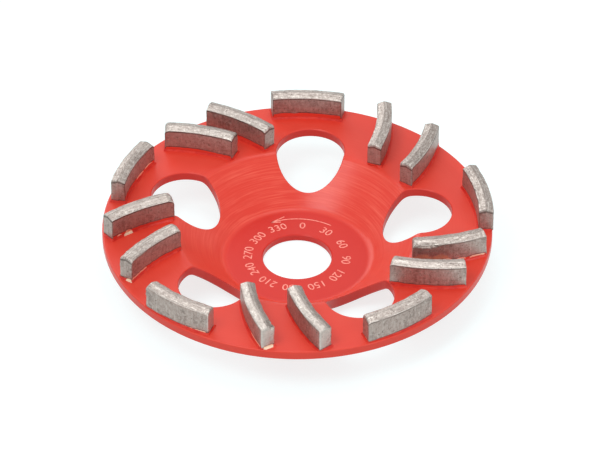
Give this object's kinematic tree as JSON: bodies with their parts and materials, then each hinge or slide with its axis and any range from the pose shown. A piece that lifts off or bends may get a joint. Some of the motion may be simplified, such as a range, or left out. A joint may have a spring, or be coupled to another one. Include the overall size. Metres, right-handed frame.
{
  "type": "diamond cup wheel",
  "caption": "Dished steel grinding wheel with round windows and curved sintered segments brazed to its flat rim, for an angle grinder.",
  "frame": {"origin": "on the bore's axis, in the plane of the hub's back face, which rests on the table", "axes": "+Z along the bore towards the grinding segments, +Y through the middle of window 1"},
  "size_m": [0.125, 0.125, 0.0242],
  "materials": {
    "painted_body": "red enamel, satin",
    "segment": "sintered, matt, pitted",
    "braze": "brazed, mostly painted over"
  },
  "bodies": {
    "root": {"wheel_body": "painted_body", "rim_segment_1": "segment", "leading_segment_1": "segment", "trailing_segment_1": "segment", "rim_segment_2": "segment", "leading_segment_2": "segment", "trailing_segment_2": "segment", "rim_segment_3": "segment", "leading_segment_3": "segment", "trailing_segment_3": "segment", "rim_segment_4": "segment", "leading_segment_4": "segment", "trailing_segment_4": "segment", "rim_segment_5": "segment", "leading_segment_5": "segment", "trailing_segment_5": "segment", "rim_braze_1": "braze", "leading_braze_1": "braze", "trailing_braze_1": "braze", "rim_braze_2": "braze", "leading_braze_2": "braze", "trailing_braze_2": "braze", "rim_braze_3": "braze", "leading_braze_3": "braze", "trailing_braze_3": "braze", "rim_braze_4": "braze", "leading_braze_4": "braze", "trailing_braze_4": "braze", "rim_braze_5": "braze", "leading_braze_5": "braze", "trailing_braze_5": "braze"}
  },
  "joints": []
}
